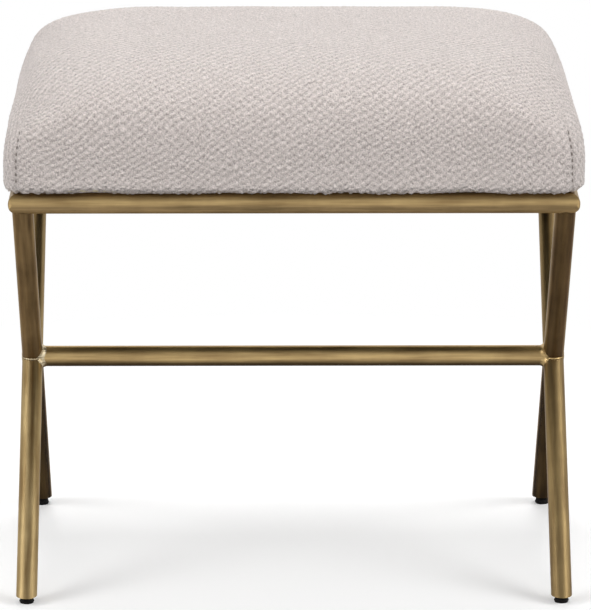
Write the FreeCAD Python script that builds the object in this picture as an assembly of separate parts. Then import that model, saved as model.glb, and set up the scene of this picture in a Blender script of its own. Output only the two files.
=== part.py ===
"""X-frame bench: a padded seat on a welded frame of round tube, with a screw leveller in each foot.

Millimetres. +Z is up, X runs along the seat, and the front of the bench faces -Y.
The origin is on the floor, under the middle of the bench.
"""

import FreeCAD, Part
import math
import os

Vec = FreeCAD.Vector
X_AXIS = Vec(1, 0, 0)
Y_AXIS = Vec(0, 1, 0)
Z_AXIS = Vec(0, 0, 1)

# Welded frame
FRAME_LENGTH = 508.0      # over the side rails
FRAME_DEPTH = 375.0       # over the front and rear rails
SEAT_REST_HEIGHT = 378.5  # top of the rails above the floor
RAIL_DIA = 19.0
RAIL_WALL = 1.5
CORNER_GRIND = 4.0        # radius ground on the outer corner of a mitre
GRIND_PER_WALL = 2.7      # largest such radius, in walls, that leaves metal over the bore
LEG_DIA = 19.0
LEG_WALL = 1.5
LEG_INSET = 12.5          # leg axis, in from the end of the frame
FOOT_SPACING = 354.0      # front to rear, between the middles of the leg ends
LEG_END_HEIGHT = 7.5      # cut end of a leg above the floor
STRETCHER_DIA = 19.0
STRETCHER_WALL = 1.5
FIT_UP_GAP = 0.2          # left at a coped end for the weld
BEAD_FIT = 0.05           # between a weld bead and the tubes
WELD_RUN = 6.0            # bead along the stretcher
WELD_RISE = 4.0           # bead up the legs

# Levellers
PLUG_LAND = 1.0           # metal left beside the thread at the top of the plug
PLUG_CLEARANCE = 0.1      # round the plug, in the bore of the leg
STEM_DIA = 6.0
STEM_OFFSET = 2.0         # stem axis, off the middle of the leg end towards the way the leg leans
THREAD_CLEARANCE = 0.05   # radial
STEM_TOP_GAP = 0.5        # tip of the stem below the top of the plug
COLLAR_DIA = 11.5         # of the stem, up against the leg end
COLLAR_HEIGHT = 2.8
SPIGOT_DIA = 5.0          # end of the stem that the pad turns on
SPIGOT_DEPTH = 2.5
SPIGOT_CLEARANCE = 0.05   # radial
PAD_DIA = 13.5

# Upholstered seat
SEAT_OVERHANG = 4.3       # widest level of the cushion, out from the frame
CUSHION_HEIGHT = 122.2    # from the rails to the top of the crown
SIDE_HEIGHT = 26.5        # from the rails to where the sides start to lean in
CORNER_RADIUS = 31.0      # in plan, at every level
BOTTOM_ROLL = 5.0         # radius of the bottom edge
BOTTOM_TURN = 75.0        # degrees that the bottom edge turns through
END_BOW = 2.1             # power of the lean of the ends: higher stays upright for longer
END_SQUARENESS = 6.8      # power of the crown along X: higher is flatter, with a tighter edge
FRONT_BOW = 2.46          # the same two powers for the front and the rear
FRONT_SQUARENESS = 5.25
CROWN_FLAT = 0.005        # share of the dome's height that is left flat on top
OUTER_RINGS = (2, 1, 12)  # steps of the cover's face: bottom edge, side, dome
INNER_RINGS = (1, 1, 4)   # steps of the padding's flat faces
RING_CROWDING = 4.0       # power that crowds the rings of the dome towards its top
PADDING_CUT = 0.75        # straight cut across a corner of the padding, in corner radii
COVER_THICKNESS = 2.0
PADDING_CLEARANCE = 0.3   # between the cover and the foam, and round the board
HEM_EDGE = 7.0            # edge of the turned hem, out from the screw axes
HEM_CORNER = 18.0
BOARD_THICKNESS = 12.0
DUST_THICKNESS = 0.8
DUST_MARGIN = 10.0        # edge of the dust cover in from the axes of the rails
DUST_CORNER = 12.0

# Seat fixings
TAB_SPACING = 300.0       # along X
TAB_WIDTH = 24.0
TAB_THICKNESS = 3.2
TAB_REACH = 26.0          # screw axis in from the axis of the rail
SCREW_DIA = 5.0
SCREW_CLEARANCE = 0.4     # radial, in a tab and in the dust cover
SCREW_HEAD_DIA = 9.5
SCREW_HEAD_HEIGHT = 3.0
SCREW_COVER = 2.0         # wood left over the tip

# Places worked out from the sizes above
RAIL_R = RAIL_DIA / 2
LEG_R = LEG_DIA / 2
STRETCHER_R = STRETCHER_DIA / 2
STEM_R = STEM_DIA / 2
RAIL_X = FRAME_LENGTH / 2 - RAIL_R
RAIL_Y = FRAME_DEPTH / 2 - RAIL_R
RAIL_Z = SEAT_REST_HEIGHT - RAIL_R
LEG_X = FRAME_LENGTH / 2 - LEG_INSET
FOOT_Y = FOOT_SPACING / 2
STEM_Y = FOOT_Y - STEM_OFFSET
LEG_SLOPE = (FOOT_Y + RAIL_Y) / (RAIL_Z - LEG_END_HEIGHT)
CROSSING_Z = LEG_END_HEIGHT + FOOT_Y / LEG_SLOPE
PLUG_R = LEG_R - LEG_WALL - PLUG_CLEARANCE
THREAD_R = STEM_R + THREAD_CLEARANCE
PLUG_REACH = PLUG_R * math.hypot(1, LEG_SLOPE)
PLUG_HEIGHT = (STEM_OFFSET + PLUG_REACH - THREAD_R - PLUG_LAND) / LEG_SLOPE
PAD_HEIGHT = LEG_END_HEIGHT - COLLAR_HEIGHT
SPIGOT_END = PAD_HEIGHT - SPIGOT_DEPTH
CUSHION_LENGTH = FRAME_LENGTH + 2 * SEAT_OVERHANG
CUSHION_DEPTH = FRAME_DEPTH + 2 * SEAT_OVERHANG
BOARD_BOTTOM = SEAT_REST_HEIGHT + COVER_THICKNESS
BOARD_TOP = BOARD_BOTTOM + BOARD_THICKNESS
TAB_TOP = SEAT_REST_HEIGHT - DUST_THICKNESS
SCREW_Y = RAIL_Y - TAB_REACH
SCREW_TIP = BOARD_TOP - SCREW_COVER
HEM_WIDTH = CUSHION_DEPTH / 2 - SCREW_Y - HEM_EDGE
SIDES = {"left": -1, "right": 1}
ENDS = {"front": -1, "rear": 1}
SCREWS = [(x * TAB_SPACING / 2, y * SCREW_Y) for y in ENDS.values() for x in SIDES.values()]


def export(name, shape):
    """Writes one named piece."""
    shape.exportStep("parts/" + name + ".step")


def face_of(points):
    """Flat face with straight sides through the points."""
    return Part.Face(Part.makePolygon(points + points[:1]))


def turned(profile, centre):
    """Solid turned about a vertical axis from (radius, height) points."""
    points = [centre + Vec(radius, 0, height) for radius, height in profile]
    return face_of(points).revolve(centre, Z_AXIS, 360)


def rounded_outline(half_x, half_y, radius, z):
    """Closed wire of four lines and four quarter arcs, at one level."""
    edges = []
    slant = radius * math.sqrt(0.5)
    corners = [(1, 1), (-1, 1), (-1, -1), (1, -1)]
    arcs = []
    for sx, sy in corners:
        middle = Vec(sx * (half_x - radius), sy * (half_y - radius), z)
        on_x = middle + Vec(sx * radius, 0, 0)
        on_y = middle + Vec(0, sy * radius, 0)
        bulge = middle + Vec(sx * slant, sy * slant, 0)
        ends = (on_x, on_y) if sx * sy > 0 else (on_y, on_x)
        arcs.append((ends[0], bulge, ends[1]))
    for this, following in zip(arcs, arcs[1:] + arcs[:1]):
        edges.append(Part.Arc(*this).toShape())
        edges.append(Part.makeLine(this[2], following[0]))
    return Part.Wire(edges)


def rounded_slab(half_x, half_y, radius, bottom, top):
    """Flat plate with rounded corners."""
    return Part.Face(rounded_outline(half_x, half_y, radius, bottom)).extrude(Vec(0, 0, top - bottom))


def largest(shape):
    """The biggest solid of a cut shape."""
    return max(shape.Solids, key=lambda solid: solid.Volume)


# Rails

def mitre_block(name, reach):
    """Block between the two mitre planes of a rail, as wide as a rod of that radius."""
    out_x = RAIL_X + reach
    out_y = RAIL_Y + reach
    in_x = RAIL_X - reach
    in_y = RAIL_Y - reach
    if name in ENDS:
        s = ENDS[name]
        corners = [(-out_x, s * out_y), (out_x, s * out_y), (in_x, s * in_y), (-in_x, s * in_y)]
    else:
        s = SIDES[name]
        corners = [(s * out_x, -out_y), (s * out_x, out_y), (s * in_x, in_y), (s * in_x, -in_y)]
    face = face_of([Vec(x, y, RAIL_Z - reach) for x, y in corners])
    return face.extrude(Vec(0, 0, 2 * reach))


def rail_rod(name, radius):
    """Round rod along a rail, with mitred ends."""
    if name in ENDS:
        half = RAIL_X + radius
        start = Vec(-half, ENDS[name] * RAIL_Y, RAIL_Z)
        rod = Part.makeCylinder(radius, 2 * half, start, X_AXIS)
    else:
        half = RAIL_Y + radius
        start = Vec(SIDES[name] * RAIL_X, -half, RAIL_Z)
        rod = Part.makeCylinder(radius, 2 * half, start, Y_AXIS)
    return rod.common(mitre_block(name, radius))


def rail(name):
    """Mitred tube whose outer corners are ground round."""
    grind = min(CORNER_GRIND, GRIND_PER_WALL * RAIL_WALL)
    bottom = SEAT_REST_HEIGHT - RAIL_DIA
    outline = rounded_slab(FRAME_LENGTH / 2, FRAME_DEPTH / 2, grind, bottom, SEAT_REST_HEIGHT)
    tube = rail_rod(name, RAIL_R).common(outline)
    return largest(tube.cut(rail_rod(name, RAIL_R - RAIL_WALL)))


# Crossed legs

def leg_rod(side, foot, radius):
    """Round rod along the leg that stands at one end and leans to the other, cut level at the foot."""
    x = SIDES[side] * LEG_X
    foot_point = Vec(x, ENDS[foot] * FOOT_Y, LEG_END_HEIGHT)
    top_point = Vec(x, -ENDS[foot] * RAIL_Y, RAIL_Z)
    along = (top_point - foot_point).normalize()
    start = foot_point - along * (LEG_DIA + FOOT_SPACING)
    rod = Part.makeCylinder(radius, (top_point - start).Length, start, along)
    clear = FRAME_LENGTH + FRAME_DEPTH
    below = Part.makeBox(clear, clear, clear, Vec(-clear / 2, -clear / 2, LEG_END_HEIGHT - clear))
    return rod.cut(below)


def leg_tube(side, foot):
    """Leg tube with its top coped to the two rails that meet there."""
    top = "rear" if foot == "front" else "front"
    rails = [rail_rod(name, RAIL_R + FIT_UP_GAP) for name in (top, side)]
    solid = largest(leg_rod(side, foot, LEG_R).cut(rails))
    return solid.cut(leg_rod(side, foot, LEG_R - LEG_WALL))


def half_legs(side):
    """The lower and the upper half of the leg that stands at the rear, coped onto the long leg."""
    halves = leg_tube(side, "rear").cut(leg_rod(side, "front", LEG_R + FIT_UP_GAP)).Solids
    lower, upper = sorted(sorted(halves, key=lambda s: s.Volume)[-2:], key=lambda s: s.CenterOfMass.z)
    return lower, upper


def crossing_rods(side, radius):
    """Both leg rods of one side."""
    return [leg_rod(side, foot, radius) for foot in ENDS]


# Stretcher

def stretcher():
    """Tube between the two crossings, coped to the legs at both ends."""
    start = Vec(-LEG_X, 0, CROSSING_Z)
    rod = Part.makeCylinder(STRETCHER_R, 2 * LEG_X, start, X_AXIS)
    legs = [rod for side in SIDES for rod in crossing_rods(side, LEG_R + FIT_UP_GAP)]
    bore = Part.makeCylinder(STRETCHER_R - STRETCHER_WALL, 2 * LEG_X, start, X_AXIS)
    return largest(rod.cut(legs)).cut(bore)


def stretcher_weld(side):
    """Fillet bead round one end of the stretcher, filling the crotch of the legs."""
    inner = STRETCHER_R + BEAD_FIT
    face_x = LEG_X - LEG_R
    deep_x = LEG_X - LEG_R / 2
    profile = [
        (face_x - WELD_RUN, inner), (face_x, inner + WELD_RISE),
        (deep_x, inner + WELD_RISE), (deep_x, inner),
    ]
    section = face_of([Vec(SIDES[side] * x, 0, CROSSING_Z + radius) for x, radius in profile])
    ring = section.revolve(Vec(0, 0, CROSSING_Z), X_AXIS, 360)
    return largest(ring.cut(crossing_rods(side, LEG_R + BEAD_FIT)))


# Levellers

def leg_plug(side, foot):
    """Plug in the end of a leg, with an upright threaded hole."""
    clear = FRAME_LENGTH + FRAME_DEPTH
    slab = Part.makeBox(clear, clear, PLUG_HEIGHT, Vec(-clear / 2, -clear / 2, LEG_END_HEIGHT))
    base = Vec(SIDES[side] * LEG_X, ENDS[foot] * STEM_Y, LEG_END_HEIGHT)
    hole = Part.makeCylinder(THREAD_R, PLUG_HEIGHT, base, Z_AXIS)
    return leg_rod(side, foot, PLUG_R).common(slab).cut(hole)


def leveller_stem(side, foot):
    """Upright stem screwed fully into its plug, with a collar under the leg and a spigot in the pad."""
    base = Vec(SIDES[side] * LEG_X, ENDS[foot] * STEM_Y, 0)
    tip = LEG_END_HEIGHT + PLUG_HEIGHT - STEM_TOP_GAP
    spigot_r = SPIGOT_DIA / 2
    collar_r = COLLAR_DIA / 2
    profile = [
        (0, SPIGOT_END), (spigot_r, SPIGOT_END), (spigot_r, PAD_HEIGHT), (collar_r, PAD_HEIGHT),
        (collar_r, LEG_END_HEIGHT), (STEM_R, LEG_END_HEIGHT), (STEM_R, tip), (0, tip),
    ]
    return turned(profile, base)


def leveller_pad(side, foot):
    """Round pad with a blind socket for the spigot of the stem."""
    base = Vec(SIDES[side] * LEG_X, ENDS[foot] * STEM_Y, 0)
    pad_r = PAD_DIA / 2
    socket_r = SPIGOT_DIA / 2 + SPIGOT_CLEARANCE
    profile = [
        (0, 0), (pad_r, 0), (pad_r, PAD_HEIGHT),
        (socket_r, PAD_HEIGHT), (socket_r, SPIGOT_END), (0, SPIGOT_END),
    ]
    return turned(profile, base)


# Cushion

def side_ring(draw_in, height):
    """Half length, half depth and height of a level below the dome."""
    return CUSHION_LENGTH / 2 - draw_in, CUSHION_DEPTH / 2 - draw_in, height


def dome_ring(rise):
    """The same for a level of the dome, at a share of the way up from the sides to the crown."""
    half_x = CUSHION_LENGTH / 2 * (1 - rise ** END_BOW) ** (1 / END_SQUARENESS)
    half_y = CUSHION_DEPTH / 2 * (1 - rise ** FRONT_BOW) ** (1 / FRONT_SQUARENESS)
    return half_x, half_y, SIDE_HEIGHT + (CUSHION_HEIGHT - SIDE_HEIGHT) * rise


def cushion_rings(bottom_steps, side_steps, dome_steps):
    """Levels of the cushion from its bottom edge up to the flat of the crown."""
    rings = []
    low = math.radians(BOTTOM_TURN)
    upright = BOTTOM_ROLL * math.sin(low)
    for step in range(bottom_steps):
        a = low * (1 - step / bottom_steps)
        rings.append(side_ring(BOTTOM_ROLL * (1 - math.cos(a)), upright - BOTTOM_ROLL * math.sin(a)))
    for step in range(side_steps):
        rings.append(side_ring(0, upright + (SIDE_HEIGHT - upright) * step / side_steps))
    last = 1 - CROWN_FLAT ** (1 / RING_CROWDING)
    for step in range(dome_steps + 1):
        rings.append(dome_ring(1 - (1 - last * step / dome_steps) ** RING_CROWDING))
    return rings


def cushion_face():
    """Solid bounded by the face of the cushion, in narrow bands from ring to ring."""
    outlines = []
    for half_x, half_y, height in cushion_rings(*OUTER_RINGS):
        outlines.append(rounded_outline(half_x, half_y, CORNER_RADIUS, SEAT_REST_HEIGHT + height))
    return Part.makeLoft(outlines, True, True)


def cut_corner_points(half_x, half_y, cut, z):
    """Corners of a rectangle with its four corners cut off straight, at one level."""
    points = []
    for sx, sy in [(1, 1), (-1, 1), (-1, -1), (1, -1)]:
        on_x = Vec(sx * half_x, sy * (half_y - cut), z)
        on_y = Vec(sx * (half_x - cut), sy * half_y, z)
        points += [on_x, on_y] if sx * sy > 0 else [on_y, on_x]
    return points


def padding(inset):
    """Block with flat bevelled faces, a given distance inside the face of the cushion."""
    squeeze = 1 - 2 * inset / CUSHION_HEIGHT
    cut = PADDING_CUT * CORNER_RADIUS
    outlines = []
    for half_x, half_y, height in cushion_rings(*INNER_RINGS):
        z = SEAT_REST_HEIGHT + inset + height * squeeze
        outlines.append(cut_corner_points(half_x - inset, half_y - inset, cut, z))
    faces = [face_of(outlines[0]), face_of(outlines[-1])]
    for low, high in zip(outlines, outlines[1:]):
        for i in range(len(low)):
            faces.append(face_of([low[i - 1], low[i], high[i], high[i - 1]]))
    shell = Part.makeShell(faces)
    shell.sewShape()
    return Part.makeSolid(shell)


def seat_cover():
    """Sewn cover with its wadding, open below inside the turned hem."""
    half_x = CUSHION_LENGTH / 2 - HEM_WIDTH
    half_y = CUSHION_DEPTH / 2 - HEM_WIDTH
    opening = rounded_slab(half_x, half_y, HEM_CORNER, SEAT_REST_HEIGHT, BOARD_TOP)
    return cushion_face().cut(padding(COVER_THICKNESS)).cut(opening)


def board_blank(clearance, bottom):
    """Board with cut corners that clears the cover at its bottom edge, grown by a clearance."""
    half_x, half_y = cushion_rings(*INNER_RINGS)[0][:2]
    inset = COVER_THICKNESS + PADDING_CLEARANCE - clearance
    points = cut_corner_points(half_x - inset, half_y - inset, PADDING_CUT * CORNER_RADIUS, bottom)
    return face_of(points).extrude(Vec(0, 0, BOARD_TOP - bottom))


def seat_board():
    """Plywood board with a pilot hole for each screw."""
    radius = SCREW_DIA / 2 + THREAD_CLEARANCE
    depth = SCREW_TIP - BOARD_BOTTOM
    pilots = [Part.makeCylinder(radius, depth, Vec(x, y, BOARD_BOTTOM)) for x, y in SCREWS]
    return board_blank(0, BOARD_BOTTOM).cut(pilots)


def seat_foam():
    """Foam over the board and round its edge, inside the cover."""
    block = padding(COVER_THICKNESS + PADDING_CLEARANCE)
    return block.cut(board_blank(PADDING_CLEARANCE, SEAT_REST_HEIGHT))


def dust_cover():
    """Cloth sheet under the seat, with a hole for each screw."""
    half_x = RAIL_X - DUST_MARGIN
    half_y = RAIL_Y - DUST_MARGIN
    sheet = rounded_slab(half_x, half_y, DUST_CORNER, TAB_TOP, SEAT_REST_HEIGHT)
    radius = SCREW_DIA / 2 + SCREW_CLEARANCE
    return sheet.cut([Part.makeCylinder(radius, DUST_THICKNESS, Vec(x, y, TAB_TOP)) for x, y in SCREWS])


# Seat fixings

def seat_screw(x, y):
    """Cheese head screw from below the tab up into the board."""
    seat = TAB_TOP - TAB_THICKNESS
    under = seat - SCREW_HEAD_HEIGHT
    head_r = SCREW_HEAD_DIA / 2
    shank_r = SCREW_DIA / 2
    profile = [
        (0, under), (head_r, under), (head_r, seat),
        (shank_r, seat), (shank_r, SCREW_TIP), (0, SCREW_TIP),
    ]
    return turned(profile, Vec(x, y, 0))


def seat_tab(x, y):
    """Flat tab with a round end, welded to the inner side of a rail."""
    bottom = TAB_TOP - TAB_THICKNESS
    s = math.copysign(1, y)
    half = TAB_WIDTH / 2
    plate = Part.makeBox(TAB_WIDTH, TAB_REACH, TAB_THICKNESS, Vec(x - half, min(y, s * RAIL_Y), bottom))
    nose = Part.makeCylinder(half, TAB_THICKNESS, Vec(x, y, bottom))
    hole = Part.makeCylinder(SCREW_DIA / 2 + SCREW_CLEARANCE, TAB_THICKNESS, Vec(x, y, bottom))
    rod = rail_rod("front" if s < 0 else "rear", RAIL_R + BEAD_FIT)
    return largest(plate.fuse(nose).removeSplitter().cut(rod)).cut(hole)


def main():
    os.makedirs("parts", exist_ok=True)
    for name in list(ENDS) + list(SIDES):
        export(name + "_rail", rail(name))
    for side in SIDES:
        lower, upper = half_legs(side)
        long_leg = leg_tube(side, "front")
        export(side + "_leg_long", long_leg)
        export(side + "_leg_lower", lower)
        export(side + "_leg_upper", upper)
    export("stretcher", stretcher())
    export("stretcher_welds", Part.makeCompound([stretcher_weld(side) for side in SIDES]))
    feet = [(side, foot) for foot in ENDS for side in SIDES]
    export("leg_plugs", Part.makeCompound([leg_plug(side, foot) for side, foot in feet]))
    for side, foot in feet:
        export("leveller_stem_" + foot + "_" + side, leveller_stem(side, foot))
        export("leveller_pad_" + foot + "_" + side, leveller_pad(side, foot))
    export("seat_cover", seat_cover())
    export("seat_foam", seat_foam())
    export("seat_board", seat_board())
    export("dust_cover", dust_cover())
    export("seat_screws", Part.makeCompound([seat_screw(x, y) for x, y in SCREWS]))
    export("seat_tabs", Part.makeCompound([seat_tab(x, y) for x, y in SCREWS]))


main()
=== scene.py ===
"""X-frame bench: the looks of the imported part, in metres and in the part's own frame."""

import math

import bpy
import numpy as np
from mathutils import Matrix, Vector


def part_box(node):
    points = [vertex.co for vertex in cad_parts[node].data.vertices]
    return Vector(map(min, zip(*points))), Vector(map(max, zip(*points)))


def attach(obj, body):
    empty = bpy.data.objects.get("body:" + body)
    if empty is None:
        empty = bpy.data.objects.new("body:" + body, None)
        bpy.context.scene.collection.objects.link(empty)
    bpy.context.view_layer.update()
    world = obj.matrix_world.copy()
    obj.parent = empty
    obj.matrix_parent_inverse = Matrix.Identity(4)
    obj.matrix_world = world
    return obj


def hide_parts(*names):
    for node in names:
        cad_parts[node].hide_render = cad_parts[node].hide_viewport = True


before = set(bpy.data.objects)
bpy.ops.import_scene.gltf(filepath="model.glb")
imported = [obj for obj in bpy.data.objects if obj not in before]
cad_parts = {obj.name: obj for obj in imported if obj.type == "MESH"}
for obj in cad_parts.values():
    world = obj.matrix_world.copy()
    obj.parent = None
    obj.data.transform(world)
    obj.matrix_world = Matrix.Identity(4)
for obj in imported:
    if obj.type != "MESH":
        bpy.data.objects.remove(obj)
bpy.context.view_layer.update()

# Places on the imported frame
HALF_X, HALF_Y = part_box("seat_cover")[1][:2]
RAIL_LOW, RAIL_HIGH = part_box("front_rail")
SEAT_REST = RAIL_HIGH[2]
TUBE_RADIUS = (SEAT_REST - RAIL_LOW[2]) / 2
STRETCHER_LOW, STRETCHER_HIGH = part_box("stretcher")
STRETCHER_Z = (STRETCHER_LOW[2] + STRETCHER_HIGH[2]) / 2
LEG_LOW, LEG_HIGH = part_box("right_leg_long")
LEG_X = (LEG_LOW[0] + LEG_HIGH[0]) / 2
DUST_LOW, DUST_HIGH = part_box("dust_cover")
FEET = [(end, side) for end in ("front", "rear") for side in ("left", "right")]

# Headings of the tubes
LEG_RUN = 0.7007
LEG_RISE = 0.7135
LENGTHWISE = (1.0, 0.0, 0.0)
FRONT_TO_BACK = (0.0, 1.0, 0.0)
LONG_LEG_UP = (0.0, LEG_RUN, LEG_RISE)
HALF_LEG_UP = (0.0, -LEG_RUN, LEG_RISE)
HALF_LEG_DOWN = (0.0, LEG_RUN, -LEG_RISE)

# Cushion form: a crowned block with bowed sides, and corners that open out towards the crown
CROWN_HEIGHT = 0.1222
SIDE_HEIGHT = 0.0265
DOME_HEIGHT = CROWN_HEIGHT - SIDE_HEIGHT
END_BOW = 1.69
END_SQUARENESS = 10.5
END_WAIST = 0.0016
WAIST_RISE = 0.55
WAIST_SPREAD = 0.2
FRONT_BOW = 2.78
FRONT_SQUARENESS = 3.85
CORNER_RADIUS = 0.0265
CORNER_SPREAD = 0.56
CORNER_OPENING = 1.7
SHOULDER_RISE = 0.62
SHOULDER_SLOPE = 1.1
BOTTOM_ROLL = 0.007
ROLL_ROWS = 3
HEM_WIDTH = 0.022
HEM_ROWS = 5
REST_GAP = 0.0002
CLOTH_CELL = 0.0016
FOAM_CELL = 0.012
FOAM_INSET = 0.0028
PROFILE_SAMPLES = 4000
PROFILE_BUNCHING = 6

# Weave of the cover: nubs where two twill lines and the columns of yarn meet
NUB_COLUMN = 0.00472
NUB_PITCH = 0.0067
NUB_HEIGHT = 0.0010
RIGHT_TWILL = 0.54
LEFT_TWILL = 0.33
COLUMNS = 0.13
YARN_SLANT = 0.7

# Unevenness of the cover: how much, and the shortest and longest swell
SWELLS = 20
WANDER_NEAR = 0.0005
WANDER_NEAR_SPAN = (0.008, 0.018)
WANDER_FAR = 0.0014
WANDER_FAR_SPAN = (0.05, 0.12)
UNEVENNESS = 0.0004
UNEVENNESS_SPAN = (0.06, 0.16)
UNEVENNESS_FROM = 0.004
UNEVENNESS_FULL = 0.03
PLUMPNESS = 0.25
PLUMPNESS_SPAN = (0.007, 0.014)

# Lower edge and hem of the cover
EDGE_HEIGHT = 0.012
EDGE_PLUMPNESS = 1.4
EDGE_WAVE = 0.0009
EDGE_LIFT = 0.8
EDGE_NEAR = 0.5
EDGE_NEAR_SPAN = (0.005, 0.011)
EDGE_FAR = 0.6
EDGE_FAR_SPAN = (0.05, 0.12)
HEM_FLAT_FROM = 0.9 * BOTTOM_ROLL
HEM_FLAT_FULL = 1.6 * BOTTOM_ROLL
HEM_FLATNESS = 0.8

# Corner seams of the cover
SEAM_INSET = 0.0117
SEAM_TOP = 0.062
SEAM_FADE = 0.020
SEAM_DEPTH = 0.0009
SEAM_WIDTH = 0.0015
SEAM_PRESSED = 0.0021
SEAM_SMOOTHNESS = 0.8
SEAM_RIDGE = 0.0005
RIDGE_APART = 2.2 * SEAM_WIDTH
SEWN_RISE = 0.30
WHOLE_RISE = 0.60
STITCH_PITCH = 0.0060
STITCH_LENGTH = 0.0037
STITCH_RADIUS = 0.0007
STITCH_FIRST = 0.0100
STITCH_SHARE = 0.75
STITCH_ENDS = 0.02
STITCH_RINGS = 9
STITCH_SIDES = 8

# Welds of the frame
WELD_RUN = 0.0062
WELD_RISE = 0.0038
WELD_SWELL = 0.08
WELD_SWELLS = range(3, 12)
WELD_LUMPS = range(16, 30)
WELD_STEPS = 120
WELD_ROWS = 8
WELD_SUNK = 0.0003
WELD_SLIP = 0.002
WELD_ROOT_IN = 0.003
WELD_ROOT_UNDER = 0.001
CROSSING_BEAD = 0.0012
CROSSING_THIN = 0.15
CROSSING_LUMPS = range(14, 30)
CROSSING_STEPS = 110
CROSSING_LIFT = 0.0003
BEAD_SIDES = 12
BEAD_SIDEWAYS = (0.31, 0.52, 0.80)

# Levellers: radius and height along each profile, in millimetres, and the rise of the thread
PAD_PROFILE = (
    (0.0, 0.0), (5.5, 0.0), (6.1, 0.3), (6.3, 1.0), (6.35, 1.5), (6.72, 1.8), (6.75, 2.3), (6.6, 2.7),
    (6.2, 2.95), (6.05, 3.5), (6.05, 4.3), (5.8, 4.68), (2.58, 4.68), (2.58, 2.15), (0.0, 2.15),
)
COLLAR_PROFILE = (
    (0.0, 2.25), (2.5, 2.25), (2.5, 4.7), (5.4, 4.7), (5.75, 4.85), (5.75, 5.3), (5.5, 5.6), (5.5, 6.6),
    (5.75, 6.9), (5.75, 7.3), (5.5, 7.48), (0.0, 7.48),
)
THREAD_TURN = ((2.55, 7.0), (2.98, 7.42), (2.98, 7.55))
THREAD_PROFILE = (
    (0.0, 6.9),
    *((radius, height + turn) for turn in range(8) for radius, height in THREAD_TURN),
    (2.55, 15.0), (2.4, 15.2), (0.0, 15.2),
)
THREAD_LEAD = 0.001
TURNED_STEPS = 48

# Dust cloth under the seat
DUST_COLUMNS = 90
DUST_ROWS = 66
DUST_THICKNESS = 0.0006
DUST_BELOW = 0.0004
DUST_WAVE = 0.00012
DUST_WAVE_SPAN = (0.02, 0.09)
DUST_HELD = 0.02

# Studio and camera
FLOOR_HALF = 30
LIGHT_AIM = (0.0, 0.0, 0.3)
STUDIO_LIGHTS = (
    ("overhead", (0.0, 0.55, 2.8), (1.3, 1.0), 27.0),
    ("left_side", (-3.3, -1.7, 1.8), (2.2, 2.2), 97.0),
    ("right_side", (3.3, -1.7, 1.8), (2.4, 2.4), 111.0),
    ("front", (0.0, -4.2, 2.0), (6.0, 3.4), 46.0),
    ("rear", (0.0, 3.8, 2.0), (4.0, 2.4), 45.0),
)
CAMERA_PLACE = (-0.02726, -4.90541, 1.34042)
CAMERA_LENS = 320.63
CAMERA_REACH = 100.0
CAMERA_TILT = 12.69
CAMERA_TURN = -0.345


class Value:
    """A socket of a finish. Arithmetic on it adds Math nodes."""

    def __init__(self, finish, socket):
        self.finish = finish
        self.socket = socket

    def reckon(self, operation, first, second):
        return self.finish.node("Math", {"operation": operation}, {0: first, 1: second})

    def __add__(self, other):
        return self.reckon("ADD", self, other)

    def __radd__(self, other):
        return self.reckon("ADD", other, self)

    def __sub__(self, other):
        return self.reckon("SUBTRACT", self, other)

    def __rsub__(self, other):
        return self.reckon("SUBTRACT", other, self)

    def __mul__(self, other):
        return self.reckon("MULTIPLY", self, other)

    def __rmul__(self, other):
        return self.reckon("MULTIPLY", other, self)


class Finish:
    """The nodes of a new material or world."""

    def __init__(self, name, kind=bpy.data.materials):
        self.made = kind.new(name)
        self.made.use_nodes = True
        self.tree = self.made.node_tree

    def node(self, kind, settings=None, inputs=None, output=0):
        """Add a node with its settings, then its inputs, and give one of its outputs."""
        made = self.tree.nodes.new("ShaderNode" + kind)
        for name, value in (settings or {}).items():
            setattr(made, name, value)
        for name, value in (inputs or {}).items():
            self.feed(made.inputs[name], value)
        return Value(self, made.outputs[output])

    def feed(self, socket, value):
        """Link a value to a socket, or set the socket to a constant."""
        if isinstance(value, Value):
            self.tree.links.new(value.socket, socket)
        else:
            socket.default_value = value

    def set(self, **inputs):
        """Feed the main shader: names are its sockets, with _ for a space."""
        for name, value in inputs.items():
            self.feed(self.tree.nodes["Principled BSDF"].inputs[name.replace("_", " ")], value)
        return self.made

    def show(self, shader):
        """Make a shader the outcome of the nodes."""
        output = next(n for n in self.tree.nodes if n.bl_idname.startswith("ShaderNodeOutput"))
        self.feed(output.inputs["Surface"], shader)
        return self.made

    def place(self):
        """Position on the object, in metres."""
        return self.node("TexCoord", output=3)

    def noise(self, place, scale, detail=3.0, roughness=0.55):
        """Cloudy values about 0.5."""
        inputs = {"Vector": place, "Scale": scale, "Detail": detail, "Roughness": roughness}
        return self.node("TexNoise", {}, inputs)

    def blend(self, factor, first, second):
        """Colour between two colours."""
        return self.node("Mix", {"data_type": "RGBA"}, {0: factor, 6: first, 7: second}, 2)

    def between(self, value, low, high):
        """How far a value is from low to high, from 0 to 1."""
        return self.node("MapRange", {}, {0: value, 1: low, 2: high})

    def cosine(self, turns):
        """A wave of height 1, by the number of its turns."""
        return self.node("Math", {"operation": "COSINE"}, {0: turns * (2 * math.pi)})

    def part(self, vector, axis):
        """One of the three parts of a vector."""
        return self.node("SeparateXYZ", {}, {0: vector}, axis)

    def bump(self, height, distance, strength=1.0):
        """Normal of a surface with a fine relief."""
        return self.node("Bump", {}, {"Strength": strength, "Distance": distance, "Height": height})

    def rays(self):
        """Whether a ray comes from the camera, off a shiny face or through a clear one."""
        return (self.node("LightPath", output=k) for k in (0, 3, 6))

    def at_most_one(self, value):
        """A value, held to 1."""
        return self.node("Math", {"operation": "MINIMUM"}, {0: value, 1: 1.0})


def colour(red, green, blue):
    return (red, green, blue, 1.0)


def grey(level):
    return colour(level, level, level)


# Finishes

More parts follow.
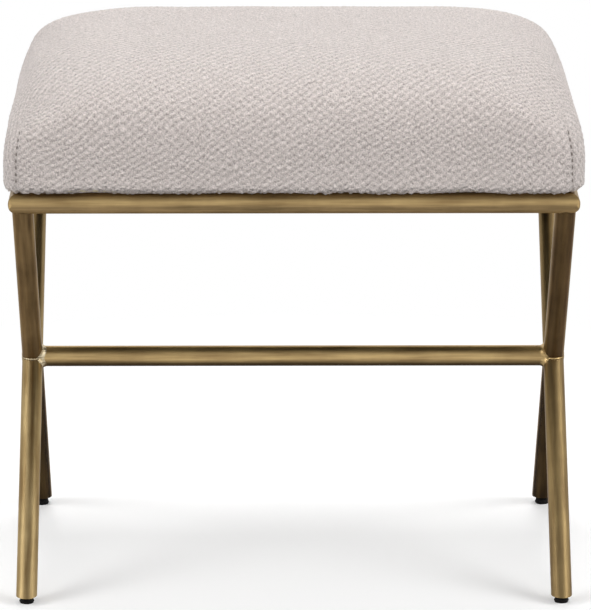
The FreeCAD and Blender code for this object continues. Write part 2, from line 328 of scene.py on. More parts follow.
def antique_brass(name, along, dark=(0.30, 0.196, 0.078), light=(0.58, 0.415, 0.182),
                  underside_shade=(0.100, 0.066, 0.033), shade_from=0.0):
    """Rubbed and lacquered antique brass, with bands along a tube and painted shade darkening what looks
    down.
    """
    f = Finish(name)
    place = f.place()
    way = f.node("VectorMath", {"operation": "DOT_PRODUCT"}, {0: place, 1: along}, 1)
    back = f.node("VectorMath", {"operation": "SCALE"}, {0: along, "Scale": way * -0.95})
    drawn = f.node("VectorMath", {"operation": "ADD"}, {0: place, 1: back})
    streaks = f.noise(drawn, 260.0, 3.0, 0.55)
    clouds = f.noise(place, 16.0, 4.0, 0.6)
    specks = f.noise(place, 900.0, 2.0)
    rub = f.between(streaks * 0.60 + clouds * 0.40, 0.36, 0.64)
    # Painted shade: the colour darkens on faces that look down, judged by the surface normal, with a few
    # random specks mixed in
    facing = f.part(f.node("NewGeometry", output=1), 2)
    shade_and_specks = f.between(facing, shade_from, shade_from - 0.5) * 0.94 + f.between(specks, 0.58, 0.75) * 0.06
    tone = f.blend(rub, colour(*dark), colour(*light))
    shaded_tone = f.blend(rub, colour(*(0.65 * part for part in underside_shade)), colour(*(1.5 * part for part in underside_shade)))
    return f.set(
        Base_Color=f.blend(shade_and_specks, tone, shaded_tone),
        Metallic=1.0,
        Specular_Tint=colour(0.25, 0.21, 0.16),
        Roughness=0.34 + clouds * 0.10 + streaks * 0.08 + shade_and_specks * 0.12,
        Coat_Weight=0.45 - shade_and_specks * 0.4,
        Coat_Roughness=0.28,
        Normal=f.bump(streaks * 0.6 + specks * 0.4, 0.00006, 0.4),
    )


def woven_cover():
    """Greige yarn, with painted shade between the nubs and in the stitched corner seams."""
    f = Finish("woven_cover")
    weave = f.node("Attribute", {"attribute_name": "weave"}, output=1)
    column, row, groove = (f.part(weave, axis) for axis in range(3))
    loose = 1 - f.node("Attribute", {"attribute_name": "seam"}, output=2)
    slant = f.node("CombineXYZ", {}, {0: (column - row) * 2.4, 1: (column + row) * 0.9})
    strands = (f.noise(slant, 1.0, 2.0, 0.6) - 0.5) * loose + 0.5
    fibres = f.noise(f.place(), 740.0, 1.5, 0.7)
    nub = (f.cosine(column - row) * RIGHT_TWILL + f.cosine(column + row) * LEFT_TWILL
           + f.cosine(column * 2 - row * YARN_SLANT + strands * 1.6) * COLUMNS) * loose
    # Painted shade: the colour darkens where the weave is low between the nubs and along the seam grooves;
    # the strands and fibres vary the yarn's own tone
    lit = f.between(nub * 0.67 + strands * 0.9 + fibres * 5.6, 1.65, 4.85) * (1 - groove * 0.8)
    return f.set(
        Base_Color=f.blend(lit, colour(0.300, 0.262, 0.245), colour(0.856, 0.772, 0.738)),
        Roughness=0.92,
        Sheen_Weight=0.35,
        Sheen_Roughness=0.5,
        Normal=f.bump(nub * 0.60 + strands * 0.4 + fibres * 3.0, 0.0009, 0.8),
    )


def sewing_thread():
    """Greige thread of the corner seams, coloured dark as painted shade of the seam gaps."""
    f = Finish("sewing_thread")
    twist = f.noise(f.place(), 1400.0, 2.0)
    return f.set(
        # Painted shade: the thread's dark colour stands for the shade in the seam
        Base_Color=f.blend(twist, colour(0.155, 0.136, 0.122), colour(0.31, 0.277, 0.251)),
        Roughness=0.85,
        Normal=f.bump(twist, 0.0002, 0.6),
    )


def seat_foam_finish():
    """Cream foam with open cells."""
    f = Finish("seat_foam")
    cells = f.node("TexVoronoi", {}, {"Vector": f.place(), "Scale": 700.0})
    return f.set(
        Base_Color=f.blend(cells, colour(0.62, 0.55, 0.36), colour(0.80, 0.74, 0.55)),
        Roughness=0.95,
        Normal=f.bump(cells, 0.0005),
    )


def plywood():
    """Plywood, with its grain along the bench."""
    f = Finish("plywood")
    drawn = f.node("VectorMath", {"operation": "MULTIPLY"}, {0: f.place(), 1: (6.0, 90.0, 260.0)})
    grain = f.noise(drawn, 1.0, 5.0, 0.6)
    return f.set(
        Base_Color=f.blend(grain, colour(0.36, 0.23, 0.12), colour(0.62, 0.45, 0.27)),
        Roughness=0.7,
        Normal=f.bump(grain, 0.0002, 0.5),
    )


def dust_cloth():
    """Black felted cloth with small dimples."""
    f = Finish("dust_cloth")
    place = f.place()
    felt = f.noise(place, 900.0, 4.0, 0.7)
    dimples = f.node("TexVoronoi", {}, {"Vector": place, "Scale": 420.0})
    return f.set(
        Base_Color=f.blend(felt, colour(0.014, 0.014, 0.015), colour(0.045, 0.045, 0.047)),
        Roughness=0.93,
        Normal=f.bump(felt * 0.5 + dimples * 0.5, 0.0003),
    )


def zinc_steel():
    """Hazy zinc on the plugs, screws and threads."""
    f = Finish("zinc_steel")
    haze = f.noise(f.place(), 240.0, 3.0)
    return f.set(
        Base_Color=f.blend(haze, colour(0.40, 0.40, 0.39), colour(0.60, 0.60, 0.58)),
        Metallic=1.0,
        Roughness=0.28 + haze * 0.2,
    )


def black_pad():
    """Scuffed black plastic of the levellers."""
    f = Finish("black_pad")
    scuff = f.noise(f.place(), 500.0, 4.0, 0.65)
    return f.set(
        Base_Color=f.blend(scuff, colour(0.002, 0.002, 0.002), colour(0.010, 0.009, 0.009)),
        Roughness=0.45 + scuff * 0.25,
        Specular_IOR_Level=0.08,
        Normal=f.bump(scuff, 0.0001, 0.5),
    )


def studio_floor():
    """White to the camera and in reflections, with the bench's shadow near it, and dim to other rays."""
    f = Finish("studio_floor")
    camera_ray, glossy_ray, clear_ray = f.rays()
    seen = f.at_most_one(camera_ray + glossy_ray + clear_ray)
    dull = f.node("BsdfDiffuse", {}, {"Color": grey(0.90)})
    glow = f.node("Emission", {}, {"Color": grey(1.0), "Strength": 0.12})
    near = f.node("AddShader", {}, {0: dull, 1: glow})
    far = f.node("Emission", {}, {"Color": grey(1.0), "Strength": 1.0})
    away = f.node("VectorMath", {"operation": "LENGTH"}, {0: f.place()}, 1)
    lit = f.node("MixShader", {}, {0: f.between(away, 0.45, 1.0), 1: near, 2: far})
    plain = f.node("BsdfDiffuse", {}, {"Color": grey(0.30)})
    return f.show(f.node("MixShader", {}, {0: seen, 1: plain, 2: lit}))


def studio_world():
    """White all round to the camera, with the dim side of the studio, behind the camera, in reflections."""
    f = Finish("studio", bpy.data.worlds)
    camera_ray, glossy_ray, clear_ray = f.rays()
    behind = f.part(f.node("TexCoord", output=0), 1)
    backdrop = f.between(behind, -0.60, 0.80) * 0.74 + 0.13
    seen = f.at_most_one(camera_ray + clear_ray)
    level = seen + (1 - seen) * (glossy_ray * backdrop + (1 - glossy_ray) * 0.29)
    return f.show(f.node("Background", {}, {"Color": grey(1.0), "Strength": level}))


# Shapes

def new_piece(name, points, faces, finish):
    """A smooth mesh piece, from its corner points and faces."""
    mesh = bpy.data.meshes.new(name)
    mesh.from_pydata(points, [], faces)
    mesh.materials.append(finish)
    mesh.polygons.foreach_set("use_smooth", [True] * len(mesh.polygons))
    mesh.update()
    piece = bpy.data.objects.new(name, mesh)
    bpy.context.scene.collection.objects.link(piece)
    return piece


def tube_faces(count, around):
    """Faces of a grid of points that closes on itself both ways."""
    return [
        (i * around + k, i * around + (k + 1) % around,
         (i + 1) % count * around + (k + 1) % around, (i + 1) % count * around + k)
        for i in range(count) for k in range(around)
    ]


def turned(name, profile, centre, finish, lead=0.0):
    """A form turned about the vertical, from a profile in millimetres, with the rise of a thread."""
    points = []
    for i in range(TURNED_STEPS):
        angle = 2 * math.pi * i / TURNED_STEPS
        for radius, height in profile:
            x = centre[0] + radius / 1000 * math.cos(angle)
            y = centre[1] + radius / 1000 * math.sin(angle)
            points.append((x, y, height / 1000 + lead * i / TURNED_STEPS))
    rows = len(profile)
    faces = []
    for i in range(TURNED_STEPS):
        here = i * rows
        beyond = (i + 1) % TURNED_STEPS * rows
        faces += [(here + k, beyond + k, beyond + k + 1, here + k + 1) for k in range(rows - 1)]
    return new_piece(name, points, faces, finish)


def ripple(count, waves, seed):
    """Smooth uneven values round a closed loop, about 0."""
    made = np.random.default_rng(seed)
    turn = np.linspace(0, 2 * np.pi, count, endpoint=False)
    total = np.zeros(count)
    for wave in waves:
        total += np.sin(wave * turn + made.uniform(0, 2 * np.pi)) * made.uniform(0.5, 1.0)
    return total / math.sqrt(len(waves))


def bead(name, path, radius, finish):
    """A weld bead along a closed path, as thick at each place as its radius there."""
    path = np.asarray(path)
    ahead = np.roll(path, -1, axis=0) - np.roll(path, 1, axis=0)
    ahead /= np.linalg.norm(ahead, axis=1)[:, None]
    side = np.cross(ahead, BEAD_SIDEWAYS)
    side /= np.linalg.norm(side, axis=1)[:, None]
    up = np.cross(ahead, side)
    points = []
    for centre, s, u, r in zip(path, side, up, radius):
        for k in range(BEAD_SIDES):
            angle = 2 * math.pi * k / BEAD_SIDES
            points.append(tuple(centre + r * (math.cos(angle) * s + math.sin(angle) * u)))
    return new_piece(name, points, tube_faces(len(path), BEAD_SIDES), finish)


def smooth_noise(u, v, span, seed):
    """Smooth uneven values over the cloth, about 0, with swells between the two lengths of a span."""
    made = np.random.default_rng(seed)
    total = np.zeros_like(u)
    for _ in range(SWELLS):
        length = made.uniform(*span)
        heading = made.uniform(0, 2 * np.pi)
        shift = made.uniform(0, 2 * np.pi)
        total += np.sin(2 * np.pi / length * (u * math.cos(heading) + v * math.sin(heading)) + shift)
    return total * math.sqrt(2 / SWELLS)


def ease(value, low, high):
    """From 0 at low to 1 at high, with soft ends."""
    share = np.clip((value - low) / (high - low), 0, 1)
    return share * share * (3 - 2 * share)


# Cushion

def cushion_ring(rise):
    """Half length, half depth and corner radius of the cushion, at a share of its rise to the crown."""
    waist = END_WAIST * np.exp(-((rise - WAIST_RISE) / WAIST_SPREAD) ** 2)
    half_x = HALF_X * (1 - rise ** END_BOW) ** (1 / END_SQUARENESS) - waist
    half_y = HALF_Y * (1 - rise ** FRONT_BOW) ** (1 / FRONT_SQUARENESS)
    return half_x, half_y, half_y * (CORNER_RADIUS / HALF_Y + CORNER_SPREAD * rise ** CORNER_OPENING)


def on_ring(s, t, half_x, half_y, radius):
    """Plan position on a rounded ring of a point on the edge of the unit square."""
    on_end = np.abs(s) >= np.abs(t)
    radius = np.maximum(radius, 1e-6)
    reach = np.where(on_end, half_y, half_x) - radius
    way = np.where(on_end, t, s) * (reach + radius * math.pi / 4)
    turn = np.maximum(np.abs(way) - reach, 0) / radius
    along = np.sign(way) * (np.minimum(np.abs(way), reach) + radius * np.sin(turn))
    out = np.where(on_end, half_x, half_y) - radius * (1 - np.cos(turn))
    return np.where(on_end, np.sign(s) * out, along), np.where(on_end, along, np.sign(t) * out)


def rise_at(x, y):
    """Share of the rise at which the cushion passes over a plan position."""
    low = np.zeros_like(x)
    high = np.ones_like(x)
    for _ in range(40):
        middle = (low + high) / 2
        half_x, half_y, radius = cushion_ring(middle)
        gap_x = np.abs(x) - half_x + radius
        gap_y = np.abs(y) - half_y + radius
        past = np.hypot(np.maximum(gap_x, 0), np.maximum(gap_y, 0))
        inside = past + np.minimum(np.maximum(gap_x, gap_y), 0) < radius
        low = np.where(inside, middle, low)
        high = np.where(inside, high, middle)
    return low


def side_levels(cell):
    """Rings below the shoulder: share of the rise, drop below the dome's foot and way drawn in."""
    levels = []
    dome = math.ceil(SHOULDER_RISE * DOME_HEIGHT * SHOULDER_SLOPE / cell)
    for k in range(1, dome + 1):
        levels.append((SHOULDER_RISE * (1 - k / dome), 0.0, 0.0))
    upright = SIDE_HEIGHT - BOTTOM_ROLL
    side = math.ceil(upright / cell)
    for k in range(1, side + 1):
        levels.append((0.0, upright * k / side, 0.0))
    roll = max(ROLL_ROWS, math.ceil(BOTTOM_ROLL * math.pi / 2 / cell))
    for k in range(1, roll + 1):
        angle = math.pi / 2 * k / roll
        levels.append((0.0, upright + BOTTOM_ROLL * math.sin(angle), BOTTOM_ROLL * (1 - math.cos(angle))))
    for k in range(1, HEM_ROWS + 1):
        levels.append((0.0, SIDE_HEIGHT, BOTTOM_ROLL + (HEM_WIDTH - BOTTOM_ROLL) * k / HEM_ROWS))
    return levels


def cushion_points(cell, inset):
    """Points and faces of the cushion, with each point's share of the rise, its drop and its way drawn in."""
    half_x, half_y, radius = cushion_ring(SHOULDER_RISE)
    across = 2 * round(half_x / cell)
    deep = 2 * round(half_y / cell)
    s, t = np.meshgrid(np.linspace(-1, 1, across + 1), np.linspace(-1, 1, deep + 1), indexing="ij")
    s = s.ravel()
    t = t.ravel()
    share = np.maximum(np.maximum(np.abs(s), np.abs(t)), 1e-9)
    x, y = on_ring(s / share, t / share, share * half_x, share * half_y, share ** 2 * radius)
    xs = [x]
    ys = [y]
    rises = [rise_at(x, y)]
    drops = [np.zeros_like(x)]
    draws = [np.zeros_like(x)]

    rows = deep + 1
    edge = [i * rows for i in range(across)]
    edge += [across * rows + k for k in range(deep)]
    edge += [i * rows + deep for i in range(across, 0, -1)]
    edge += list(range(deep, 0, -1))
    edge = np.array(edge)
    count = len(edge)
    levels = side_levels(cell)
    for rise, drop, draw in levels:
        half_x, half_y, radius = cushion_ring(rise)
        x, y = on_ring(s[edge], t[edge], half_x - draw, half_y - draw, radius - draw)
        xs.append(x)
        ys.append(y)
        rises.append(np.full(count, rise))
        drops.append(np.full(count, drop))
        draws.append(np.full(count, draw))
    x, y, rise, drop, draw = (np.concatenate(part) for part in (xs, ys, rises, drops, draws))
    z = SEAT_REST + REST_GAP + SIDE_HEIGHT - drop + DOME_HEIGHT * rise
    points = np.stack((x, y, z), axis=1)
    if inset:
        points[:, 0] *= 1 - inset / HALF_X
        points[:, 1] *= 1 - inset / HALF_Y
        points[:, 2] = np.clip(points[:, 2] - inset, SEAT_REST + inset, None)

    first = (across + 1) * rows
    grid = np.arange(first).reshape(across + 1, rows)
    corners = (grid[:-1, :-1], grid[1:, :-1], grid[1:, 1:], grid[:-1, 1:])
    faces = np.stack(corners, axis=-1).reshape(-1, 4).tolist()
    upper = edge
    for k in range(len(levels)):
        lower = first + k * count + np.arange(count)
        faces += np.stack((upper, lower, np.roll(lower, -1), np.roll(upper, -1)), axis=1).tolist()
        upper = lower
    faces.append(upper[::-1].tolist())
    return points, faces, rise, drop, draw


def profile_length(half, rise, drop):
    """Length of cloth from the middle of the crown to a ring, over one side of the cushion."""
    share = np.linspace(0, 1, PROFILE_SAMPLES)
    heights = 1 - share ** PROFILE_BUNCHING
    sizes = half(heights)
    steps = np.hypot(np.diff(sizes), np.diff(DOME_HEIGHT * heights))
    lengths = np.concatenate(((sizes[0],), sizes[0] + np.cumsum(steps)))
    return np.interp((1 - rise) ** (1 / PROFILE_BUNCHING), share, lengths) + drop


def seam_turn(radius):
    """Turn from the front at which a corner seam lies, so that it stands upright near the end."""
    return np.arcsin(np.clip(1 - SEAM_INSET / np.maximum(radius, SEAM_INSET), 0, 1))


def sewn_share(rise):
    """How far the corners of the cloth are sewn, from 1 below to 0 where the cloth is whole."""
    return 1 - ease(rise, SEWN_RISE, WHOLE_RISE)


def cloth_places(points, rise, drop, draw):
    """Where each point lies on the flat cloth, and its way past the corner seam."""
    half_x, half_y, radius = cushion_ring(rise)
    seam = seam_turn(radius)
    half_x = half_x - draw
    half_y = half_y - draw
    radius = np.maximum(radius - draw, 1e-4)
    size_x = np.abs(points[:, 0])
    size_y = np.abs(points[:, 1])
    core_x = np.minimum(size_x, half_x - radius)
    core_y = np.minimum(size_y, half_y - radius)
    past_x = np.clip((size_x - core_x) / radius, 0, 1)
    past_y = np.clip((size_y - core_y) / radius, 0, 1)
    down = drop + draw
    over_end = profile_length(lambda h: cushion_ring(h)[0], rise, down)
    over_front = profile_length(lambda h: cushion_ring(h)[1], rise, down)
    open_u = core_x + past_x * (over_end - (half_x - radius))
    open_v = core_y + past_y * (over_front - (half_y - radius))

    turn = np.arctan2(past_x, past_y)
    on_front = turn < seam
    sewn_u = np.where(on_front, core_x + radius * turn, over_end)
    sewn_v = np.where(on_front, over_front, core_y + radius * (math.pi / 2 - turn))
    sewn = sewn_share(rise)
    u = np.sign(points[:, 0]) * (open_u + (sewn_u - open_u) * sewn)
    v = np.sign(points[:, 1]) * (open_v + (sewn_v - open_v) * sewn)
    return u, v, radius * (turn - seam)


def weave_places(u, v):
    """Column of the weave at each place on the cloth, and row along it, uneven as thick yarn lies."""
    near_u = WANDER_NEAR * smooth_noise(u, v, WANDER_NEAR_SPAN, 11)
    near_v = WANDER_NEAR * smooth_noise(u, v, WANDER_NEAR_SPAN, 12)
    far_u = WANDER_FAR * smooth_noise(u, v, WANDER_FAR_SPAN, 13)
    far_v = WANDER_FAR * smooth_noise(u, v, WANDER_FAR_SPAN, 16)
    return (u + near_u + far_u) / (2 * NUB_COLUMN), (v + near_v + far_v) / NUB_PITCH


def nub_heights(column, row):
    """Height of the weave, from about -1 between the nubs to 1 on them."""
    right = np.cos(2 * np.pi * (column - row))
    left = np.cos(2 * np.pi * (column + row))
    yarn = np.cos(2 * np.pi * (2 * column - YARN_SLANT * row))
    return RIGHT_TWILL * right + LEFT_TWILL * left + COLUMNS * yarn


def make_cushion(finish):
    """The stuffed cover, with its weave, corner seams and turned hem in the mesh."""
    points, faces, rise, drop, draw = cushion_points(CLOTH_CELL, 0.0)
    piece = new_piece("cushion", points.tolist(), faces, finish)
    mesh = piece.data
    normals = np.empty(len(points) * 3, dtype=np.float32)
    mesh.vertex_normals.foreach_get("vector", normals)
    normals = normals.reshape(-1, 3)

    u, v, past_seam = cloth_places(points, rise, drop, draw)
    column, row = weave_places(u, v)
    above_rest = points[:, 2] - SEAT_REST
    sewn = 1 - ease(above_rest, SEAM_TOP - SEAM_FADE, SEAM_TOP)
    stitch = (0.5 + 0.5 * np.cos(2 * np.pi * above_rest / STITCH_PITCH)) ** 2
    groove = np.exp(-(past_seam / SEAM_WIDTH) ** 2) * sewn * (1 - STITCH_SHARE + STITCH_SHARE * stitch)
    ridge = np.exp(-((np.abs(past_seam) - RIDGE_APART) / SEAM_WIDTH) ** 2) * sewn
    pressed = np.exp(-(past_seam / SEAM_PRESSED) ** 2) * sewn_share(rise)
    low = 1 - ease(above_rest, 0.0, EDGE_HEIGHT)
    flat = 1 - ease(draw, HEM_FLAT_FROM, HEM_FLAT_FULL) * HEM_FLATNESS
    plump = (1 + PLUMPNESS * smooth_noise(u, v, PLUMPNESS_SPAN, 17)) * (1 + EDGE_PLUMPNESS * low)
    nub = nub_heights(column, row) * (1 - pressed) * (1 - SEAM_SMOOTHNESS * groove)
    swell = UNEVENNESS * smooth_noise(u, v, UNEVENNESS_SPAN, 14)
    raised = 0.5 * NUB_HEIGHT * plump * nub * flat
    raised += SEAM_RIDGE * ridge - SEAM_DEPTH * groove
    raised += swell * ease(above_rest, UNEVENNESS_FROM, UNEVENNESS_FULL)
    points = points + normals * raised[:, None]
    wave = EDGE_LIFT + EDGE_NEAR * smooth_noise(u, v, EDGE_NEAR_SPAN, 15)
    wave += EDGE_FAR * smooth_noise(u, v, EDGE_FAR_SPAN, 18)
    points[:, 2] += EDGE_WAVE * wave * low * flat
    mesh.vertices.foreach_set("co", points.astype(np.float32).ravel())

    # The weave and groove stored here darken the cover's colour as painted shade between the nubs and along
    # the seams
    weave = mesh.attributes.new("weave", "FLOAT_VECTOR", "POINT")
    weave.data.foreach_set("vector", np.stack((column, row, groove), axis=1).astype(np.float32).ravel())
    seam = mesh.attributes.new("seam", "FLOAT", "POINT")
    seam.data.foreach_set("value", pressed.astype(np.float32))
    mesh.update()
    return piece


def stitch_points(first):
    """Rings of points round one stitch, from its lower end up, at the right rear corner."""
    points = []
    for along in np.linspace(STITCH_ENDS, 1 - STITCH_ENDS, STITCH_RINGS):
        height = first + STITCH_LENGTH * along
        half_x, half_y, radius = cushion_ring(max(height - SIDE_HEIGHT, 0) / DOME_HEIGHT)
        turn = seam_turn(radius)
        thick = STITCH_RADIUS * math.sqrt(math.sin(math.pi * along))
        for k in range(STITCH_SIDES):
            angle = 2 * math.pi * k / STITCH_SIDES
            out = radius - SEAM_DEPTH + thick + thick * math.cos(angle)
            aside = thick * math.sin(angle)
            x = half_x - radius + out * math.sin(turn) + aside * math.cos(turn)
            y = half_y - radius + out * math.cos(turn) - aside * math.sin(turn)
            points.append((x, y, SEAT_REST + REST_GAP + height))
    return points


def stitch_faces(base):
    """Faces of one stitch with closed ends, from the number of its first point."""
    faces = [tuple(range(base + STITCH_SIDES - 1, base - 1, -1))]
    for lower in range(base, base + (STITCH_RINGS - 1) * STITCH_SIDES, STITCH_SIDES):
        upper = lower + STITCH_SIDES
        for k in range(STITCH_SIDES):
            beside = (k + 1) % STITCH_SIDES
            faces.append((lower + k, lower + beside, upper + beside, upper + k))
    faces.append(tuple(range(upper, upper + STITCH_SIDES)))
    return faces


def make_stitches(finish):
    """Sewing thread that shows along the corner seams."""
    points = []
    faces = []
    for right, rear in ((-1, -1), (-1, 1), (1, -1), (1, 1)):
        for first in np.arange(STITCH_FIRST, SEAM_TOP - STITCH_PITCH, STITCH_PITCH):
            made = stitch_faces(len(points))
            faces += [face[::-1] for face in made] if right == rear else made
            points += [(right * x, rear * y, z) for x, y, z in stitch_points(first)]
    return new_piece("corner_stitches", points, faces, finish)


# Frame details

def leg_standing_in(y, z):
    """How far the crossed legs stand in from their own plane, at a place beside the crossing."""
    first = y * LEG_RISE - z * LEG_RUN
    second = y * LEG_RISE + z * LEG_RUN
    near = np.minimum(np.abs(first), np.abs(second))
    return np.sqrt(np.maximum(TUBE_RADIUS ** 2 - near ** 2, 0))


def lumpy(size, lumps, seed):
    """An uneven size round a weld, with broad swells and small lumps."""
    swells = WELD_SWELL * ripple(WELD_STEPS, WELD_SWELLS, seed)
    return size * (1 + swells + lumps * ripple(WELD_STEPS, WELD_LUMPS, seed + 1))


def stretcher_weld(name, side, lumps, finish, seed):
    """Lumpy fillet weld round one end of the stretcher."""
    run = lumpy(WELD_RUN, lumps, seed)
    rise = lumpy(WELD_RISE, lumps, seed + 2)
    under = TUBE_RADIUS - WELD_ROOT_UNDER
    points = []
    for i in range(WELD_STEPS):
        angle = 2 * math.pi * i / WELD_STEPS
        y = math.cos(angle)
        z = math.sin(angle)
        root = leg_standing_in(y * TUBE_RADIUS, z * TUBE_RADIUS)
        for k in range(WELD_ROWS):
            lift = math.pi / 2 * k / (WELD_ROWS - 1)
            radius = TUBE_RADIUS - WELD_SUNK + rise[i] * (1 - math.cos(lift))
            inward = max(leg_standing_in(y * radius, z * radius), root - WELD_SLIP)
            x = LEG_X - inward - run[i] * (1 - math.sin(lift))
            points.append((side * x, y * radius, STRETCHER_Z + z * radius))
        points.append((side * (LEG_X - root + WELD_ROOT_IN), y * under, STRETCHER_Z + z * under))
    faces = tube_faces(WELD_STEPS, WELD_ROWS + 1)
    if side > 0:
        faces = [face[::-1] for face in faces]
    return new_piece(name, points, faces, finish)


def crossing_path(side, heading):
    """Line where a half leg, heading one way, meets the long leg."""
    ahead = np.array(heading)
    over = np.array(LONG_LEG_UP)
    outward = np.array(LENGTHWISE)
    across = np.cross(outward, ahead)
    centre = np.array((side * LEG_X, 0.0, STRETCHER_Z))
    path = []
    for angle in np.linspace(0, 2 * np.pi, CROSSING_STEPS, endpoint=False):
        tilt = TUBE_RADIUS * math.sin(angle) * across.dot(over)
        reach = abs(tilt) / (1 - math.copysign(1.0, tilt) * ahead.dot(over))
        out = math.cos(angle) * outward + math.sin(angle) * across
        spot = TUBE_RADIUS * out + reach * ahead
        from_leg = spot - spot.dot(over) * over
        lift = out + from_leg / np.linalg.norm(from_leg)
        path.append(centre + spot + CROSSING_LIFT * lift / np.linalg.norm(lift))
    return path


def crossing_weld(name, side, heading, lumps, finish):
    """Weld bead where a half leg meets the long leg, thickest in the two creases."""
    path = crossing_path(side, heading)
    crease = np.abs(np.sin(np.linspace(0, 2 * np.pi, CROSSING_STEPS, endpoint=False)))
    thick = CROSSING_BEAD * (CROSSING_THIN + (1 - CROSSING_THIN) * crease)
    uneven = 1 + 2 * lumps * ripple(CROSSING_STEPS, CROSSING_LUMPS, 43 + side)
    return bead(name, path, thick * uneven, finish)


def make_leveller(end, side, pad_finish, steel_finish):
    """Black ribbed pad, its collar and the threaded stem above it."""
    low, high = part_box(f"leveller_pad_{end}_{side}")
    centre = ((low[0] + high[0]) / 2, (low[1] + high[1]) / 2)
    pad = turned(f"pad_{end}_{side}", PAD_PROFILE, centre, pad_finish)
    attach(pad, f"pad_{end}_{side}")
    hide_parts(f"leveller_pad_{end}_{side}")
    collar = turned(f"collar_{end}_{side}", COLLAR_PROFILE, centre, pad_finish)
    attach(collar, f"stem_{end}_{side}")
    thread = turned(f"thread_{end}_{side}", THREAD_PROFILE, centre, steel_finish, THREAD_LEAD)
    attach(thread, f"stem_{end}_{side}")
    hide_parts(f"leveller_stem_{end}_{side}")


def make_dust_cloth(finish):
    """Stretched cloth under the seat, a little wavy."""
    along = np.linspace(DUST_LOW[0], DUST_HIGH[0], DUST_COLUMNS + 1)
    back = np.linspace(DUST_LOW[1], DUST_HIGH[1], DUST_ROWS + 1)
    x, y = (part.ravel() for part in np.meshgrid(along, back, indexing="ij"))
    free = ease(np.minimum(DUST_HIGH[0] - np.abs(x), DUST_HIGH[1] - np.abs(y)), 0.0, DUST_HELD)
    z = DUST_HIGH[2] - DUST_BELOW - DUST_WAVE * (1 + smooth_noise(x, y, DUST_WAVE_SPAN, 21)) * free
    rows = DUST_ROWS + 1
    faces = [(i * rows + k, (i + 1) * rows + k, (i + 1) * rows + k + 1, i * rows + k + 1)
             for i in range(DUST_COLUMNS) for k in range(DUST_ROWS)]
    cloth = new_piece("dust_cloth", np.stack((x, y, z), axis=1).tolist(), faces, finish)
    thickness = cloth.modifiers.new("thickness", "SOLIDIFY")
    thickness.thickness = DUST_THICKNESS
    thickness.offset = 0.0
    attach(cloth, "frame")
    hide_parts("dust_cover")


# Finishes of the carried-over nodes

# Painted shade: each brass copy below darkens the faces that look down by its own amount, darkest on the
# stretcher and the lower half legs; the right-hand long and upper legs are darker, shaded copies of the
# left-hand ones
RAIL_UNDERSIDE_SHADE = (0.200, 0.137, 0.066)
brass_rail = antique_brass("brass_rail", LENGTHWISE, underside_shade=RAIL_UNDERSIDE_SHADE, shade_from=0.2)
brass_across = antique_brass("brass_across", LENGTHWISE, underside_shade=(0.045, 0.030, 0.015), shade_from=-0.1)
brass_deep = antique_brass("brass_deep", FRONT_TO_BACK, underside_shade=RAIL_UNDERSIDE_SHADE, shade_from=0.2)
brass_long_left = antique_brass("brass_long_left", LONG_LEG_UP, light=(0.58, 0.435, 0.212))
brass_long_right_shaded = antique_brass("brass_long_right_shaded", LONG_LEG_UP, (0.205, 0.133, 0.056), (0.43, 0.306, 0.134))
brass_upper_left = antique_brass("brass_upper_left", HALF_LEG_UP, underside_shade=(0.130, 0.086, 0.043))
brass_upper_right_shaded = antique_brass("brass_upper_right_shaded", HALF_LEG_UP, underside_shade=(0.064, 0.040, 0.019))
brass_low = antique_brass("brass_low", HALF_LEG_UP, underside_shade=(0.032, 0.020, 0.008), shade_from=0.2)
pale_weld = antique_brass("pale_weld", LENGTHWISE, (0.30, 0.22, 0.11), (0.74, 0.65, 0.46))
zinc = zinc_steel()
black = black_pad()

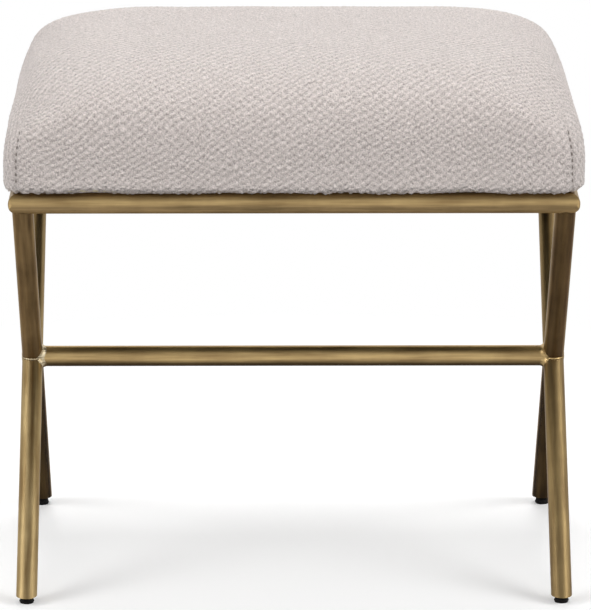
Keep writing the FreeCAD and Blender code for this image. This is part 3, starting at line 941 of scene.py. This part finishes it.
NODE_FINISHES = {
    brass_rail: ("front_rail", "rear_rail", "seat_tabs"),
    brass_across: ("stretcher",),
    brass_deep: ("left_rail", "right_rail"),
    brass_long_left: ("left_leg_long",),
    brass_long_right_shaded: ("right_leg_long",),
    brass_upper_left: ("left_leg_upper",),
    brass_upper_right_shaded: ("right_leg_upper",),
    brass_low: ("left_leg_lower", "right_leg_lower"),
    zinc: ("leg_plugs", "seat_screws"),
    plywood(): ("seat_board",),
}
for finish, names in NODE_FINISHES.items():
    for name in names:
        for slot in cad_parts[name].material_slots:
            slot.material = finish

# Pieces

cushion = make_cushion(woven_cover())
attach(cushion, "frame")
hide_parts("seat_cover")

stitches = make_stitches(sewing_thread())
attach(stitches, "frame")

foam_points, foam_faces = cushion_points(FOAM_CELL, FOAM_INSET)[:2]
foam = new_piece("foam_block", foam_points.tolist(), foam_faces, seat_foam_finish())
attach(foam, "frame")
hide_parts("seat_foam")

make_dust_cloth(dust_cloth())

welds = []
for side_name, side, lumps, finish in (("left", -1, 0.16, pale_weld), ("right", 1, 0.04, brass_across)):
    welds.append(stretcher_weld(f"stretcher_weld_{side_name}", side, lumps, finish, 31 + side))
    for place, heading in (("upper", HALF_LEG_UP), ("lower", HALF_LEG_DOWN)):
        welds.append(crossing_weld(f"crossing_weld_{side_name}_{place}", side, heading, lumps, finish))
for weld in welds:
    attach(weld, "frame")
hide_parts("stretcher_welds")

for end, side in FEET:
    make_leveller(end, side, black, zinc)

# Studio: white floor that keeps the bench's shadow, soft light from above and from all four sides

floor_points = [(x * FLOOR_HALF, y * FLOOR_HALF, 0) for x, y in ((-1, -1), (1, -1), (1, 1), (-1, 1))]
floor = new_piece("floor", floor_points, [(0, 1, 2, 3)], studio_floor())

for name, place, size, power in STUDIO_LIGHTS:
    lamp = bpy.data.lights.new(name, "AREA")
    lamp.shape = "RECTANGLE"
    lamp.size, lamp.size_y = size
    lamp.energy = power
    light = bpy.data.objects.new(name, lamp)
    light.location = place
    light.rotation_euler = (Vector(LIGHT_AIM) - Vector(place)).to_track_quat("-Z", "Y").to_euler()
    bpy.context.scene.collection.objects.link(light)

bpy.context.scene.world = studio_world()

camera = bpy.data.objects.new("camera", bpy.data.cameras.new("camera"))
camera.data.lens = CAMERA_LENS
camera.data.clip_end = CAMERA_REACH
camera.location = CAMERA_PLACE
camera.rotation_euler = (math.radians(90 - CAMERA_TILT), 0.0, math.radians(CAMERA_TURN))
bpy.context.scene.collection.objects.link(camera)
bpy.context.scene.camera = camera
bpy.context.scene.view_settings.view_transform = "Standard"
